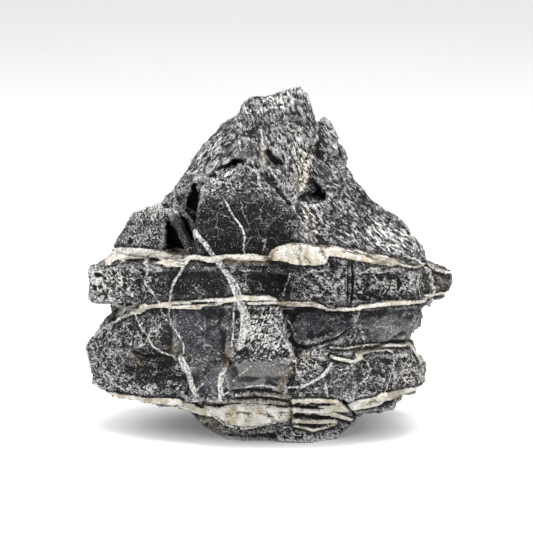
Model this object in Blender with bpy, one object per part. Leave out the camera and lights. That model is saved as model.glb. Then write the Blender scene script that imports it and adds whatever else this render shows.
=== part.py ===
"""Seiryu stone: a dark, folded limestone with white calcite beds, broken to a pointed hill on a small foot.

The stone is one solid. It is roughed out from convex blocks, as the real one broke along its beds and joints,
then fused, opened along its joints, roughened and cut flat where it stands.
Blocks are given in millimetres: x across, y away from the front, z up from the ground.
"""

import bmesh
import bpy
import numpy as np
from mathutils import Vector

MM = 0.001

# Lower and upper height of each bed above the ground, at the middle of the stone
UPPER_BED = (87.8, 91.2)
UPPER_SLAB = (73.5, 88.5)
MIDDLE_BED = (70.4, 74.0)
MIDDLE_SLAB = (48.0, 71.5)
LOWER_BED = (46.0, 48.8)
LOWER_SLAB = (24.5, 46.5)
BOTTOM_BED = (18.5, 25.5)

# The beds arch over the middle of the stone: they are this much lower at its two sides
HALF_WIDTH = 90.0
ARCH_DROP = 5.0

# Each plate of a bed is drawn in to this share of its outline at its upper edge
PLATE_DRAFT = 0.985

# Broken relief of three sizes. The largest, the breaks, is for the rear: it starts and is full at these y.
FLAKE_SIZE = 7.5
FLAKE_DEPTH = 0.4
CHIP_SIZE = 17.0
CHIP_DEPTH = 1.3
BREAK_SIZE = 38.0
BREAK_DEPTH = 3.5
BREAK_FROM = -15.0
BREAK_FULL = 25.0
BED_FLATNESS = 1.6

# The skin's mesh, and how much is cut off below for the flat foot
VOXEL = 1.1
TRIANGLES = 9900
GROUND_CUT = 1.2

STONE_GREY = (0.085, 0.086, 0.092, 1.0)

# The hill above the upper bed, each block by its corners
HILL = {
    "peak": [
        (17.5, 0, 172.5), (9.5, 0, 171), (-4, 2, 165), (-14, -4, 158.5), (25, -4, 153), (22, -20, 136),
        (14, -41, 119), (-3.4, -35, 135), (-4, -30, 90), (14, -28, 90), (25, -16, 90),
        (13, 14, 165), (-9, 17, 154), (28, 22, 122), (24, 30, 90), (-10, 38, 90),
    ],
    "crest_chip": [
        (-14, -4, 156), (-14, 4, 160), (-11.5, 0, 164), (-5, 0, 167), (-5, 7, 164), (-11, 9, 159),
        (-1, 4, 160),
    ],
    "shoulder": [
        (-13, -4, 158.5), (-21.5, 4, 153), (-27, 4, 148.5), (-31.5, 4, 143.5), (-38, 4, 133.5),
        (-46, 0, 122.5), (-53, -8, 115), (-4, -32, 137), (-14, -33, 139.5), (-31, -30, 131.5),
        (-44, -23, 121), (-48, -8, 90),
        (-30, -12, 90), (-4, -22, 90), (-14, 18, 151), (-38, 22, 128), (-54, 14, 97),
        (-34, 38, 95), (-6, 40, 90),
    ],
    "buttress": [
        (-31, -42, 128), (-11.5, -36, 136), (-3.3, -38, 132), (14.7, -50, 113.5),
        (24.5, -59, 99), (27, -61, 87), (-34.5, -48, 112), (-34, -55, 105), (2, -59, 107),
        (-34, -57, 87), (-30, -28, 118), (-10, -22, 126), (14, -28, 104), (24, -38, 87),
        (-34, -20, 87),
    ],
    "knob": [
        (-77, -14, 94), (-67.5, -12, 112), (-60.5, -17, 115), (-52, -24, 118), (-49, -27, 111),
        (-50, -34, 90), (-64, -31, 90), (-75, 6, 90), (-67, 6, 108), (-52, 8, 112), (-48, 8, 90),
    ],
    "vein_rib": [
        (-50, -27, 115), (-46, -28, 116), (-33.5, -60, 87), (-30, -61, 87),
        (-48, -10, 110), (-45, -10, 110), (-33, -30, 87), (-30, -30, 87),
    ],
    "upper_flank": [
        (26, 6, 150), (33, 6, 146), (38, 4, 138), (39.5, 2, 127), (49, 2, 117), (46, 2, 90),
        (20, -36, 116), (13, -43, 112), (17, -49, 104), (25, -14, 131), (24, -49, 102), (27, -58, 92),
        (46, -46, 92),
        (32, 24, 132), (44, 26, 112), (30, 44, 92), (46, 30, 92),
    ],
    "lower_flank": [
        (43, 0, 121), (57, -2, 113), (68, -6, 107), (78, -10, 97), (80, -14, 90), (28, -60, 92),
        (30, -46, 104), (52, -54, 89), (74, -33, 88), (50, 28, 106), (72, 20, 92), (34, 20, 108),
        (30, 40, 90),
    ],
    "horn": [
        (28.5, 6, 157), (24, 2, 153), (33.5, 6, 150), (35, -6, 140), (25, -10, 134),
        (22, -6, 129), (30, 18, 143), (32, 4, 130),
    ],
    "horn_chip": [
        (33, 0, 144), (38.5, 4, 141), (40.5, 4, 132), (34, -8, 131), (30, 0, 126), (34, 14, 128),
        (38, 0, 126),
    ],
    "rear_step": [
        (-44, 30, 112), (-14, 40, 118), (10, 44, 110), (-50, 44, 88), (-12, 58, 88), (28, 52, 88),
        (-40, 10, 116), (16, 14, 120), (46, 40, 88), (-46, 10, 88),
    ],
}

# Plates of the bedded lower half: outline seen from above, lower height, upper height
PLATES = [
    # upper slab: its body, then the blocks that stand forward
    ([(-80, -26), (-30, -49), (8, -51), (40, -51), (72, -38), (77, -20), (78, 26), (56, 48),
      (12, 57), (-38, 54), (-72, 36), (-83, 6)], *UPPER_SLAB),
    ([(-88, -14), (-86, -30), (-63, -45), (-36, -57), (-20, -60), (-16, -50), (-24, 0), (-85, 14)],
     74.0, 87.5),
    ([(-89, -14), (-86, -29), (-70, -40), (-60, 6), (-86, 12)], 71.0, 84.0),
    ([(-22, -60), (-9, -63), (-12, -40), (-24, -40)], 73.0, 85.0),
    ([(-22, -60), (-16, -62), (-16, -40), (-24, -40)], 73.0, 89.0),
    ([(-12, -62), (12, -62), (12, -40), (-14, -40)], 73.0, 76.5),
    ([(9, -58), (12, -64), (37, -65), (39, -50), (12, -42)], 73.0, 90.5),
    ([(27, -64), (37, -65), (39, -52), (28, -46)], 84.0, 95.0),
    ([(39, -55), (56, -50), (71, -42), (76, -30), (75, 0), (40, 0)], 73.5, 87.0),
    ([(-58, 40), (-46, 58), (-20, 64), (-14, 50), (-30, 30)], 74.0, 87.0),
    ([(20, 48), (26, 60), (50, 56), (62, 42), (40, 30)], 75.0, 89.0),
    # middle slab
    ([(-70, -24), (-40, -46), (0, -54), (22, -50), (44, -46), (66, -30), (69, -12), (68, 24),
      (48, 45), (4, 53), (-40, 50), (-68, 32), (-72, 4)], *MIDDLE_SLAB),
    ([(-46, -54), (-22, -60), (-16, -50), (-40, -30)], 39.0, 71.0),
    ([(41, -57), (58, -51), (73, -38), (76, -26), (74, 0), (44, 0), (42, -40)], 58.0, 71.0),
    ([(41, -57), (58, -51), (68, -38), (72, -26), (69, 0), (44, 0), (42, -40)], 49.5, 71.0),
    ([(-76, 4), (-80, 26), (-62, 44), (-50, 30), (-60, 0)], 50.0, 69.0),
    ([(4, 50), (10, 61), (38, 58), (44, 40), (20, 30)], 49.0, 69.0),
    # lower slab
    ([(-74, -22), (-40, -44), (0, -55), (30, -55), (58, -44), (70, -26), (73, -8), (70, 24),
      (46, 43), (4, 50), (-38, 46), (-66, 28), (-76, 4)], *LOWER_SLAB),
    ([(-42, -50), (-32, -56), (-25, -62), (8, -64), (14, -56), (0, -40)], 24.0, 42.0),
    ([(12, -60), (16, -63), (42, -58), (46, -50), (20, -40)], 25.0, 46.0),
    ([(42, -56), (62, -47), (72, -34), (74, -22), (70, -4), (44, 0)], 25.0, 46.0),
    ([(44, -52), (62, -46), (76, -34), (79, -22), (76, -4), (44, 0)], 30.0, 42.0),
    ([(-58, 28), (-50, 46), (-24, 55), (-14, 44), (-30, 20)], 27.0, 47.0),
    ([(40, 34), (46, 48), (66, 38), (78, 16), (60, 4)], 26.0, 45.0),
    # white beds, which stand out a little from the slabs
    ([(-79, -12), (-79, -33), (-60, -49), (-36, -61), (-4, -65), (4, -58), (38, -65), (58, -54),
      (74, -35), (77, -14), (79, 26), (57, 52), (12, 61), (-38, 58), (-75, 38), (-80, 6)], *UPPER_BED),
    ([(-70, -36), (-60, -49), (-36, -60), (-14, -66), (2, -66), (3, -50), (-20, 0), (-66, 0)],
     MIDDLE_BED[0], 74.8),
    ([(2, -63), (36, -64), (44, -61), (58, -56), (76, -40), (79, -20), (75, 20), (40, 20), (4, 0)],
     *MIDDLE_BED),
    ([(-80, 0), (-76, 34), (-40, 58), (10, 63), (56, 51), (74, 24), (40, 0)], *MIDDLE_BED),
    ([(22, -62), (42, -60), (62, -50), (71, -35), (72, -14), (72, 24), (47, 48), (4, 57),
      (-40, 52), (-60, 20), (0, 0)], *LOWER_BED),
    ([(-60, -24), (-50, -36), (-26, -49), (10, -56), (44, -52), (62, -40), (68, -10), (60, 24),
      (30, 42), (-10, 46), (-46, 36), (-60, 6)], *BOTTOM_BED),
]

# Blocks that stand out of the bedded half
BLOCKS = {
    "right_nub": [
        (72, -30, 75), (72, -28, 87), (80, -24, 88), (92.5, -9, 84), (91.5, -12, 77), (88, -12, 72),
        (80, -16, 67), (90, 8, 84), (78, 20, 87), (78, 18, 72),
    ],
    "left_lump": [
        (-64, -38, 67), (-78, -28, 60), (-90.5, -18, 50), (-88.5, -19, 41), (-86, -21, 30),
        (-74, -30, 23.5), (-52, -46, 21), (-36, -52, 23), (-56, -45, 69), (-40, -51, 70),
        (-34, -53, 46), (-76, 8, 62),
        (-88, 6, 44), (-78, 14, 27), (-50, 10, 22), (-50, 0, 68), (-66, -44, 45),
    ],
    "pillar": [
        (-21, -60, 73), (6, -60, 73), (12, -64, 50), (15, -64, 38), (-12, -68, 38), (-20, -65, 50),
        (-18, -40, 73), (8, -40, 73), (14, -44, 38), (-16, -44, 38), (-6, -67, 60),
    ],
    "wedge_chip": [
        (13, -56, 47), (20, -62, 47), (40, -59, 47), (34, -58, 60), (26, -58, 57), (41, -55, 53),
        (18, -44, 47), (40, -44, 55),
    ],
    "dark_face": [
        (-14, -61, 75), (-14, -59, 87), (-4, -57, 88), (8, -54, 88), (11, -56, 76),
        (2, -60, 75), (-12, -40, 88),
        (11, -40, 88), (-12, -40, 75), (11, -40, 75),
    ],
    "recess_floor": [
        (8, -44, 72), (8, -58, 47), (24, -58, 47), (34, -50, 72), (16, -47, 72),
        (40, -56, 60), (40, -50, 72), (43.5, -49, 71), (43.5, -53, 50),
    ],
    "calcite_lump": [
        (3, -64, 89), (3, -63, 96), (10, -66, 100), (20, -67, 101), (27, -67, 97), (29, -67, 89),
        (5, -46, 90), (26, -44, 100), (28, -46, 90),
    ],
    "calcite_chips": [
        (-26, -64, 89.5), (-24, -66, 92.5), (-3, -67, 94.5), (0, -64, 90), (-26, -50, 90), (-2, -50, 93),
    ],
    "calcite_crown": [
        (27, -66, 95), (30, -67, 98.5), (38, -66, 97), (50, -60, 92), (58, -55, 91), (52, -58, 88),
        (40, -64, 93), (28, -46, 99), (56, -42, 93),
    ],
    "calcite_lens": [
        (-48, -40, 21), (-26, -48, 21), (10, -52, 21), (12, -48, 8), (-10, -48, 4.5), (-20, -44, 6),
        (-34, -38, 14), (-40, -10, 21), (12, -10, 6), (-20, -10, 5),
    ],
    "left_underside": [
        (-64, -22, 25), (-54, -38, 24), (-30, -44, 22), (-56, -10, 19), (-36, -28, 15), (-30, 0, 12),
        (-60, 14, 22), (-44, 26, 17),
    ],
    "foot": [
        (-24, -38, 8), (-18, -40, 0), (9, -42, 0), (12, -44, 8), (32, -38, 0), (38, -38, 8),
        (40, -6, 0), (46, -8, 10), (28, 28, 0), (34, 32, 12), (-8, 34, 0), (-12, 38, 12),
        (-32, 18, 0), (-38, 20, 12),
        (-30, -14, 0), (-38, -16, 12),
    ],
    "rear_root": [
        (-40, -10, 12), (-46, 24, 14), (-14, 42, 14), (36, 36, 14), (52, 4, 14), (-56, 24, 25),
        (-16, 46, 25), (46, 38, 25), (62, 4, 25), (-56, -6, 25),
    ],
}

# Thin dark and white leaves of the right-hand foot: reach to the right, lower height, upper height
LEAF_FRONT = -48.0
LEAF_BACK = 20.0
LEAVES = [
    (64, 19.6, 22.4), (56, 16.0, 18.8), (47, 12.4, 15.2), (44, 8.8, 11.6), (37, 5.2, 8.0), (35, 1.4, 4.4),
]

# Open joints and hollows, each cut out by the block between its corners
HOLLOWS = {
    "peak_cave": [
        (11, -56, 115.5), (15.5, -56, 125), (20.5, -56, 133), (26, -50, 126), (32, -54, 117),
        (16, -26, 118.5), (29, -8, 119), (21, -20, 130),
    ],
    "shoulder_joint": [
        (-33, -60, 128.6), (-33, -60, 131.2), (-14, -60, 136.6), (-14, -60, 139.8), (-24, -60, 137),
        (-6, -60, 137), (-6, -60, 138.8), (-32, -20, 129), (-14, -20, 137), (-8, -20, 136.6),
    ],
    "shoulder_corner": [
        (-35, -60, 110), (-40, -60, 112), (-38, -60, 126), (-30.5, -60, 128),
        (-33, -60, 132), (-34, -14, 112),
        (-40, -14, 114), (-34, -14, 127),
    ],
    "shoulder_crack": [
        (-46, -50, 117.5), (-46, -50, 119.5), (-34, -50, 127), (-34, -50, 130),
        (-44, -12, 118), (-34, -14, 128),
    ],
    "peak_slot": [
        (-4.5, -46, 145.5), (5, -46, 145), (15, -46, 137), (11, -48, 129), (-4, -48, 132.5),
        (-1.5, -21, 141), (4.5, -21, 135),
    ],
    "notch": [
        (18, -20, 139), (24, -30, 140), (23, -30, 129), (27, -30, 132), (24.5, 8, 150), (27.5, 2, 139),
    ],
    "knob_undercut": [
        (-80, -50, 94.5), (-50, -50, 95.0), (-80, -50, 91.8), (-50, -50, 91.8), (-70, -18, 92.8),
        (-51, -18, 92.8),
    ],
    "left_notch": [
        (-100, -50, 69), (-67, -50, 71), (-100, -50, 62.5), (-69, -50, 66), (-74, 0, 68),
        (-78, 0, 65), (-76, 20, 66),
    ],
    "block_joint": [
        (38.0, -80, 90.5), (40.8, -80, 90.5), (38.4, -80, 74), (40.6, -80, 74),
        (39, -42, 88), (39, -42, 76),
    ],
    "step_gap": [
        (40, -80, 88.0), (54, -80, 87.6), (40, -80, 84.6), (52, -80, 86.4), (42, -46, 87), (52, -46, 87),
    ],
    "lower_joint": [
        (40, -80, 50.6), (80, -80, 52.0), (40, -80, 48.6), (80, -80, 48.8),
        (46, -44, 49.6), (66, -26, 50.2),
    ],
    "lump_cave": [
        (-68, -70, 49), (-46, -70, 50), (-35, -70, 45), (-42, -70, 36), (-60, -70, 37), (-68, -70, 42),
        (-62, -42, 43), (-46, -45, 43),
    ],
    "lump_crack": [
        (-36, -80, 68), (-34.5, -80, 68), (-33, -80, 40), (-31, -80, 40), (-32, -80, 24), (-34, -50, 64),
        (-32, -51, 44),
    ],
    "rear_joint": [
        (-30, 80, 132), (-26, 80, 132), (-6, 80, 92), (-2, 80, 92), (-26, 26, 124), (-6, 40, 95),
    ],
    "rear_undercut": [
        (-70, 80, 50), (-10, 80, 50), (-70, 80, 47.6), (-10, 80, 47.6), (-60, 34, 49), (-16, 42, 49),
    ],
    "side_undercut": [
        (90, -20, 71), (90, 40, 71), (90, -20, 66), (90, 40, 66), (66, -10, 69), (62, 34, 69),
    ],
    "left_rear_cave": [
        (-100, 10, 66), (-100, 34, 60), (-100, 20, 46), (-70, 14, 60), (-66, 26, 54),
    ],
}


def hashed(cells, seed):
    """Three repeatable numbers from 0 to 1 for each whole-number cell."""
    mixed = cells @ np.array([127.1, 311.7, 74.7]) + seed * 19.19
    return np.stack([np.modf(np.abs(np.sin(mixed + k * 5.3) * 43758.5453))[0] for k in range(3)], axis=1)


def chipped(points, size, seed):
    """Broken-rock relief from -1 to 1: each cell of a jittered grid is its own tilted plane."""
    scaled = points * (1, 1, BED_FLATNESS) / size
    base = np.floor(scaled)
    nearest = np.full(len(points), np.inf)
    relief = np.zeros(len(points))
    for i in (-1, 0, 1):
        for j in (-1, 0, 1):
            for k in (-1, 0, 1):
                cell = base + (i, j, k)
                offset = scaled - (cell + hashed(cell, seed))
                distance = (offset**2).sum(axis=1)
                tilt = hashed(cell, seed + 1) * 2 - 1
                height = (offset * tilt).sum(axis=1)
                closer = distance < nearest
                nearest[closer] = distance[closer]
                relief[closer] = height[closer]
    return np.clip(relief, -1, 1)


def arched(x, y, z):
    """A point of the bedded stone in metres, with the beds' arch put in."""
    return (x * MM, y * MM, (z - ARCH_DROP * (x / HALF_WIDTH) ** 2) * MM)


def add_block(mesh, corners):
    """The convex block between the corners, added to a bmesh."""
    made = [mesh.verts.new(arched(*corner)) for corner in corners]
    bmesh.ops.convex_hull(mesh, input=made)


def add_plate(mesh, outline, low, high):
    """A plate of one bed: its outline at the lower height, and the same outline drawn in a little above."""
    below = [(x, y, low) for x, y in outline]
    above = [(x * PLATE_DRAFT, y * PLATE_DRAFT, high) for x, y in outline]
    add_block(mesh, below + above)


def add_leaf(mesh, reach, low, high):
    """A thin leaf of the right-hand foot, narrower towards its tip and its back."""
    outline = [
        (4, LEAF_FRONT), (reach * 0.6, LEAF_FRONT + 1), (reach, LEAF_FRONT + 12), (reach - 6, LEAF_BACK),
        (4, LEAF_BACK),
    ]
    add_plate(mesh, outline, low, high)


def object_from(name, mesh):
    """A new object of a bmesh, without the loose corners that hulls leave inside."""
    loose = [v for v in mesh.verts if not v.link_faces]
    bmesh.ops.delete(mesh, geom=loose, context="VERTS")
    bmesh.ops.recalc_face_normals(mesh, faces=mesh.faces)
    data = bpy.data.meshes.new(name)
    mesh.to_mesh(data)
    mesh.free()
    made = bpy.data.objects.new(name, data)
    bpy.context.scene.collection.objects.link(made)
    return made


def bake_modifiers(stone):
    """Replaces the object's mesh with what its modifiers make of it."""
    graph = bpy.context.evaluated_depsgraph_get()
    data = bpy.data.meshes.new_from_object(stone.evaluated_get(graph))
    stone.modifiers.clear()
    stone.data = data


def fuse(stone):
    """One skin round all overlapping blocks."""
    remesh = stone.modifiers.new("fuse", "REMESH")
    remesh.mode = "VOXEL"
    remesh.voxel_size = VOXEL * MM
    bake_modifiers(stone)


def rough_block():
    """Hill, plates, blocks and leaves, fused."""
    mesh = bmesh.new()
    for corners in (*HILL.values(), *BLOCKS.values()):
        add_block(mesh, corners)
    for outline, low, high in PLATES:
        add_plate(mesh, outline, low, high)
    for reach, low, high in LEAVES:
        add_leaf(mesh, reach, low, high)
    stone = object_from("seiryu_stone", mesh)
    fuse(stone)
    return stone


def cut_hollows(stone):
    """Opens the joints and caves with one cutter each."""
    for name, corners in HOLLOWS.items():
        mesh = bmesh.new()
        add_block(mesh, corners)
        cutter = object_from(name, mesh)
        cut = stone.modifiers.new(name, "BOOLEAN")
        cut.operation = "DIFFERENCE"
        cut.solver = "EXACT"
        cut.object = cutter
        bake_modifiers(stone)
        bpy.data.objects.remove(cutter)
    fuse(stone)


def roughen(stone):
    """Moves the skin in and out by its broken relief."""
    data = stone.data
    points = np.empty(len(data.vertices) * 3)
    data.vertices.foreach_get("co", points)
    points = points.reshape(-1, 3)
    normals = np.array([v.normal for v in data.vertices])
    places = points / MM
    rear = np.clip((places[:, 1] - BREAK_FROM) / (BREAK_FULL - BREAK_FROM), 0, 1)
    relief = FLAKE_DEPTH * chipped(places, FLAKE_SIZE, 8)
    relief += CHIP_DEPTH * chipped(places, CHIP_SIZE, 3)
    relief += rear * BREAK_DEPTH * chipped(places, BREAK_SIZE, 5)
    points += normals * relief[:, None] * MM
    data.vertices.foreach_set("co", points.ravel())
    data.update()


def thin_out(stone):
    """Fewer and larger flat facets, with most of them where the form turns."""
    decimate = stone.modifiers.new("facets", "DECIMATE")
    decimate.ratio = TRIANGLES / (2 * len(stone.data.polygons))
    decimate.use_collapse_triangulate = True
    bake_modifiers(stone)


def stand_up(stone):
    """Cuts the foot flat, and puts the middle of the stone's box over the origin, with the cut at zero."""
    mesh = bmesh.new()
    mesh.from_mesh(stone.data)
    everything = mesh.verts[:] + mesh.edges[:] + mesh.faces[:]
    cut = bmesh.ops.bisect_plane(
        mesh, geom=everything, plane_co=(0, 0, GROUND_CUT * MM), plane_no=(0, 0, -1), clear_outer=True
    )
    rim = [part for part in cut["geom_cut"] if isinstance(part, bmesh.types.BMEdge)]
    bmesh.ops.holes_fill(mesh, edges=rim, sides=0)
    bmesh.ops.triangulate(mesh, faces=[face for face in mesh.faces if len(face.verts) > 3])
    low = Vector([min(v.co[axis] for v in mesh.verts) for axis in range(3)])
    high = Vector([max(v.co[axis] for v in mesh.verts) for axis in range(3)])
    middle = (low + high) / 2
    bmesh.ops.translate(mesh, verts=mesh.verts, vec=(-middle.x, -middle.y, -low.z))
    mesh.to_mesh(stone.data)
    mesh.free()


def paint(stone):
    """Dark grey limestone."""
    material = bpy.data.materials.new("grey_limestone")
    material.use_nodes = True
    shader = material.node_tree.nodes["Principled BSDF"]
    shader.inputs["Base Color"].default_value = STONE_GREY
    shader.inputs["Roughness"].default_value = 0.8
    shader.inputs["Metallic"].default_value = 0.0
    stone.data.materials.append(material)


def main():
    for old in list(bpy.data.objects):
        bpy.data.objects.remove(old)
    stone = rough_block()
    cut_hollows(stone)
    roughen(stone)
    thin_out(stone)
    stand_up(stone)
    paint(stone)


main()
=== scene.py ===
# %% [markdown]
# # A seiryu stone
#
# A seiryu stone is a dark, clay-rich limestone that folded, cracked and healed with white calcite before it broke
# out of the ground. Aquarium keepers stand it up as a small mountain.
# This lesson dresses a plain solid of one such stone. The solid already has the stone's blocks, ledges and joints,
# at their real size. What is left is what the hand would feel and the eye would read as rock: the broken skin,
# the white beds and veins, the pale grain and the stains.

# %% Load the solid
import math

import bmesh
import bpy
import numpy as np
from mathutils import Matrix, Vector
from mathutils.bvhtree import BVHTree


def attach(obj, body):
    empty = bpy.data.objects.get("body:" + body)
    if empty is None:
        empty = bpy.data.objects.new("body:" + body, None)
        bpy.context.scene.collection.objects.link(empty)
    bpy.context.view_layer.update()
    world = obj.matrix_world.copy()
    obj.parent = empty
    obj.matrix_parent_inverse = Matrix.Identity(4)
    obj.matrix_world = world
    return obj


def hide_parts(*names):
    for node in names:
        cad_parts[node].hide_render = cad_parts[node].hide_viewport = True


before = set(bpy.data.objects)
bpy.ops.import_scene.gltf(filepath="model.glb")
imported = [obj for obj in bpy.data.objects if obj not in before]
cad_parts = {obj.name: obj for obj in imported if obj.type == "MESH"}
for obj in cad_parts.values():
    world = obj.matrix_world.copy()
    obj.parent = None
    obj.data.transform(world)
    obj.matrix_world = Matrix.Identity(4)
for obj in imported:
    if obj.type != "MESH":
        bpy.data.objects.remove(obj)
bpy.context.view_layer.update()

MM = 0.001
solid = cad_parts["seiryu_stone"]

# %% [markdown]
# ## The camera comes first
#
# The stone is seen from the front and a little above, through a long lens from a metre away, so that its slabs
# hardly converge. The camera is made before the stone's surface because the white lines are drawn from it:
# a line is easiest to place where the eye sees it, and a ray from the camera then finds the spot on the stone.

# %% Camera
FRAME_PIXELS = 533
LENS_MM = 135.0
SENSOR_MM = 36.0
LOOK_AT = Vector((-0.0013, 0.0, 0.080))
DISTANCE = 1.0
LOOK_DOWN = math.radians(8)

towards_camera = Vector((0, -math.cos(LOOK_DOWN), math.sin(LOOK_DOWN)))
camera_up = Vector((0, math.sin(LOOK_DOWN), math.cos(LOOK_DOWN)))
camera_right = Vector((1, 0, 0))
eye = LOOK_AT + towards_camera * DISTANCE
focal_pixels = FRAME_PIXELS * LENS_MM / SENSOR_MM

camera = bpy.data.objects.new("camera", bpy.data.cameras.new("camera"))
bpy.context.scene.collection.objects.link(camera)
camera.data.lens = LENS_MM
camera.data.sensor_width = SENSOR_MM
camera.data.clip_start = 0.05
camera.location = eye
camera.rotation_euler = (math.pi / 2 - LOOK_DOWN, 0, 0)
bpy.context.scene.camera = camera
print("one pixel is", round(DISTANCE / focal_pixels / MM, 2), "mm at the stone")

# %% [markdown]
# ## Small helpers for the materials
#
# A node tree is easier to read when each line says what it makes. These helpers add one node, and take either
# a value or another node's output for each input.

# %% Node helpers


def filled(tree, made, inputs):
    """The node with its inputs, each given by name or number, as a value or as an output to link."""
    for name, value in inputs.items():
        if isinstance(value, bpy.types.NodeSocket):
            tree.links.new(value, made.inputs[name])
        else:
            made.inputs[name].default_value = value
    return made


def add(tree, kind, inputs=None, **settings):
    """One shader node."""
    made = tree.nodes.new("ShaderNode" + kind)
    for name, value in settings.items():
        setattr(made, name, value)
    return filled(tree, made, inputs or {})


def maths(tree, operation, first, second=0.0):
    return add(tree, "Math", {0: first, 1: second}, operation=operation).outputs[0]


def plus(tree, first, second):
    return maths(tree, "ADD", first, second)


def minus(tree, first, second):
    return maths(tree, "SUBTRACT", first, second)


def times(tree, first, second):
    return maths(tree, "MULTIPLY", first, second)


def most(tree, first, second):
    return maths(tree, "MAXIMUM", first, second)


def swing(tree, value, size):
    """A noise as a swing about zero."""
    return times(tree, minus(tree, value, 0.5), size)


def vectors(tree, operation, first, second):
    """A vector that is scaled by a number, or joined with another vector."""
    second = {"Scale" if operation == "SCALE" else 1: second}
    return add(tree, "VectorMath", {0: first, **second}, operation=operation).outputs[0]


def between(tree, value, low, high, out_low=0.0, out_high=1.0):
    """A smooth ramp from out_low at low to out_high at high."""
    inputs = {"Value": value, "From Min": low, "From Max": high, "To Min": out_low, "To Max": out_high}
    return add(tree, "MapRange", inputs, interpolation_type="SMOOTHSTEP").outputs["Result"]


def blended(tree, share, first, second):
    """A colour that goes from the first to the second."""
    return add(tree, "Mix", {0: share, 6: first, 7: second}, data_type="RGBA").outputs[2]


def blended_value(tree, share, first, second):
    return add(tree, "Mix", {0: share, 2: first, 3: second}, data_type="FLOAT").outputs[0]


def field(tree, name, output="Fac"):
    return add(tree, "Attribute", attribute_name=name).outputs[output]


def noise(tree, places, scale, detail=2.0, roughness=0.5, distortion=0.0):
    inputs = {
        "Vector": places, "Scale": scale, "Detail": detail, "Roughness": roughness, "Distortion": distortion,
    }
    return add(tree, "TexNoise", inputs).outputs["Fac"]


def new_group(name, inputs, outputs):
    """A node group with number inputs, except those named Places, which are vectors."""
    tree = bpy.data.node_groups.new(name, "ShaderNodeTree")
    for label, value in inputs.items():
        kind = "NodeSocketVector" if label == "Places" else "NodeSocketFloat"
        socket = tree.interface.new_socket(label, in_out="INPUT", socket_type=kind)
        if label != "Places":
            socket.default_value = value
    for label in outputs:
        tree.interface.new_socket(label, in_out="OUTPUT", socket_type="NodeSocketFloat")
    return tree, tree.nodes.new("NodeGroupInput").outputs, tree.nodes.new("NodeGroupOutput").inputs


def placed(tree, group, inputs):
    """The group as a node in a tree."""
    made = tree.nodes.new("ShaderNodeGroup")
    made.node_tree = group
    return filled(tree, made, inputs).outputs


print("node helpers are ready")

# %% [markdown]
# ## A plain white studio
#
# The floor is one sheet of white paper that sweeps up behind the stone, which leaves no horizon. A lamp above
# shades the ledges, one on each side in front models the faces, one behind lights the paper, and a white world
# keeps the shadow under the stone open. A sheet bent round a quarter circle needs no more than its profile.
# Paper isn't one flat white: its fibres mottle it very faintly and give it a slight tooth. It stays white on the
# floor and is painted light grey further up, as painted shade where the light falls off up the sweep.

# %% Paper sweep and lamps
PAPER_FRONT = -1.6
SWEEP_STARTS = 1.1
SWEEP_RADIUS = 0.9
PAPER_TOP = 2.2
PAPER_HALF_WIDTH = 2.2
PAPER_FIBRE = 0.7 * MM
PAPER_WHITE = (0.92, 0.92, 0.92, 1)
PAPER_SHADE = (0.88, 0.88, 0.88, 1)
# painted shade: greys for the paper higher up the sweep, where the light falls off
PAPER_PAINTED_GREY, GREY_HEIGHT = (0.63, 0.627, 0.63, 1), 0.03
PAPER_PAINTED_DARKER, DARKER_HEIGHT = (0.495, 0.49, 0.494, 1), 0.2
BEND_STEPS = 24
ROOM_BRIGHTNESS = 1.55
# place, aim, width in metres, watts and colour
LAMPS = {
    "top_lamp": ((0.08, -0.12, 1.1), LOOK_AT, 0.9, 10.0, (1.0, 0.99, 0.97)),
    "left_lamp": ((-0.75, -1.05, 0.62), LOOK_AT, 1.1, 3.6, (1, 1, 1)),
    "right_lamp": ((0.85, -1.0, 0.6), LOOK_AT, 1.1, 3.6, (1, 1, 1)),
    "back_lamp": ((0.0, 1.25, 1.2), (0.0, 1.25, 0.0), 1.2, 1.0, (1, 1, 1)),
}


def paper_material():
    material = bpy.data.materials.new("white_paper")
    material.use_nodes = True
    tree = material.node_tree
    shader = tree.nodes["Principled BSDF"]
    place = add(tree, "TexCoord").outputs["Object"]
    fibres = noise(tree, place, 1 / PAPER_FIBRE, 3.0, 0.6)
    height = add(tree, "SeparateXYZ", {0: place}).outputs[2]
    white = blended(tree, fibres, PAPER_WHITE, PAPER_SHADE)
    # painted shade: the paper turns grey and then darker grey with height
    painted_falloff = blended(tree, between(tree, height, 0.0, GREY_HEIGHT), white, PAPER_PAINTED_GREY)
    painted_falloff = blended(tree, between(tree, height, GREY_HEIGHT, DARKER_HEIGHT), painted_falloff, PAPER_PAINTED_DARKER)
    tree.links.new(painted_falloff, shader.inputs["Base Color"])
    tooth = add(tree, "Bump", {"Strength": 0.2, "Distance": 0.05 * MM, "Height": fibres})
    tree.links.new(tooth.outputs["Normal"], shader.inputs["Normal"])
    shader.inputs["Roughness"].default_value = 0.9
    shader.inputs["Specular IOR Level"].default_value = 0.1
    return material


def paper_sweep():
    bend = [math.radians(90 * k / BEND_STEPS) for k in range(BEND_STEPS + 1)]
    profile = [(PAPER_FRONT, 0.0)]
    profile += [
        (SWEEP_STARTS + SWEEP_RADIUS * math.sin(turn), SWEEP_RADIUS * (1 - math.cos(turn))) for turn in bend
    ]
    profile.append((SWEEP_STARTS + SWEEP_RADIUS, PAPER_TOP))
    corners = [(side * PAPER_HALF_WIDTH, y, z) for y, z in profile for side in (-1, 1)]
    faces = [(2 * k, 2 * k + 1, 2 * k + 3, 2 * k + 2) for k in range(len(profile) - 1)]
    sheet = bpy.data.meshes.new("paper_sweep")
    sheet.from_pydata(corners, [], faces)
    sheet.shade_smooth()
    paper = bpy.data.objects.new("paper_sweep", sheet)
    bpy.context.scene.collection.objects.link(paper)
    sheet.materials.append(paper_material())


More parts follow.
